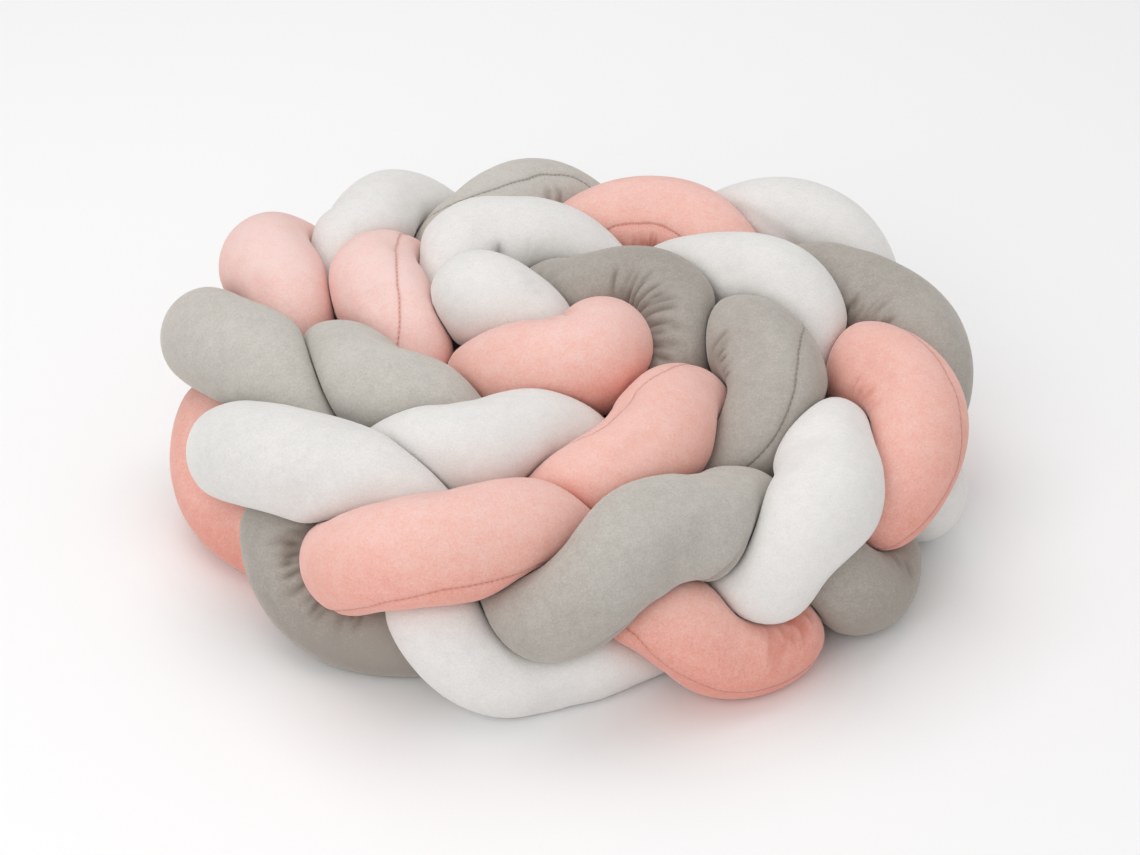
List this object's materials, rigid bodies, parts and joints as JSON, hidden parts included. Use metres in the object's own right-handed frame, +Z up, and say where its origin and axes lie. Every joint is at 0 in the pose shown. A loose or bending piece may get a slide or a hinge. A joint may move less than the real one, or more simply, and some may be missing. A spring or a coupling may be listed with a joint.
{
  "type": "braided crib bumper",
  "caption": "Crib bumper: stuffed velvet tubes in a flat plait that stands on its edge and is wound into a spiral.",
  "frame": {"origin": "bottom centre of the box round the wound plait, on the surface it rests on", "axes": "+Z up across the plait's width, +X to the right as the picture looks along +Y"},
  "size_m": [0.49, 0.4812, 0.16],
  "materials": {
    "white_velvet": "short soft pile",
    "pink_velvet": "short soft pile",
    "grey_velvet": "short soft pile"
  },
  "bodies": {
    "root": {"white_tube": "white_velvet", "pink_tube": "pink_velvet", "grey_tube": "grey_velvet"}
  },
  "joints": []
}
